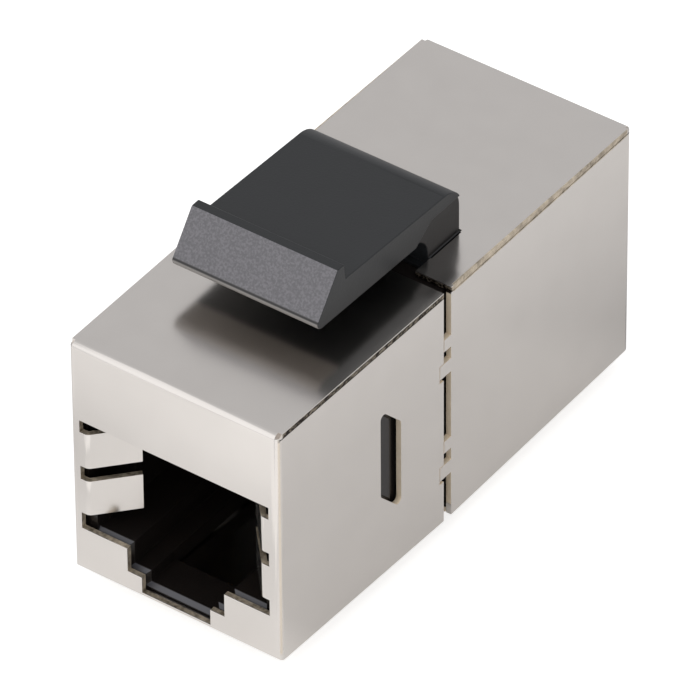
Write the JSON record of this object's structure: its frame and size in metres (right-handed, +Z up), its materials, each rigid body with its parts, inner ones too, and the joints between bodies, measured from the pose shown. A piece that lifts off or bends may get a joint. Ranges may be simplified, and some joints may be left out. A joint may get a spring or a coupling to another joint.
{
  "type": "rj45 inline coupler",
  "caption": "Shielded keystone-format inline coupler: two folded sheet shells round back-to-back modular jacks, with a spring latch on top.",
  "frame": {"origin": "middle of the length and width, on the plane of the bottom catch lugs' tips, which is the lowest point", "axes": "+Z up through the latch, -Y out of the front port, +X to the right as seen from the front"},
  "size_m": [0.0148, 0.0344, 0.0227],
  "materials": {
    "nickel_sheet": "satin nickel plate on folded brass sheet, raw brass at the cut edges",
    "latch_plastic": "black moulded plastic, fine spark texture on the nose",
    "jack_plastic": "black moulded plastic",
    "carrier_plastic": "black moulded plastic",
    "board_laminate": "green glass-epoxy board",
    "gold_contact": "gold flash on phosphor bronze"
  },
  "bodies": {
    "root": {"front_shell": "nickel_sheet", "rear_shell": "nickel_sheet", "keystone_latch": "latch_plastic", "front_jack_body": "jack_plastic", "rear_jack_body": "jack_plastic", "circuit_board": "board_laminate", "front_contact_carrier": "carrier_plastic", "rear_contact_carrier": "carrier_plastic", "front_contact_1": "gold_contact", "front_contact_2": "gold_contact", "front_contact_3": "gold_contact", "front_contact_4": "gold_contact", "front_contact_5": "gold_contact", "front_contact_6": "gold_contact", "front_contact_7": "gold_contact", "front_contact_8": "gold_contact", "rear_contact_1": "gold_contact", "rear_contact_2": "gold_contact", "rear_contact_3": "gold_contact", "rear_contact_4": "gold_contact", "rear_contact_5": "gold_contact", "rear_contact_6": "gold_contact", "rear_contact_7": "gold_contact", "rear_contact_8": "gold_contact"}
  },
  "joints": []
}
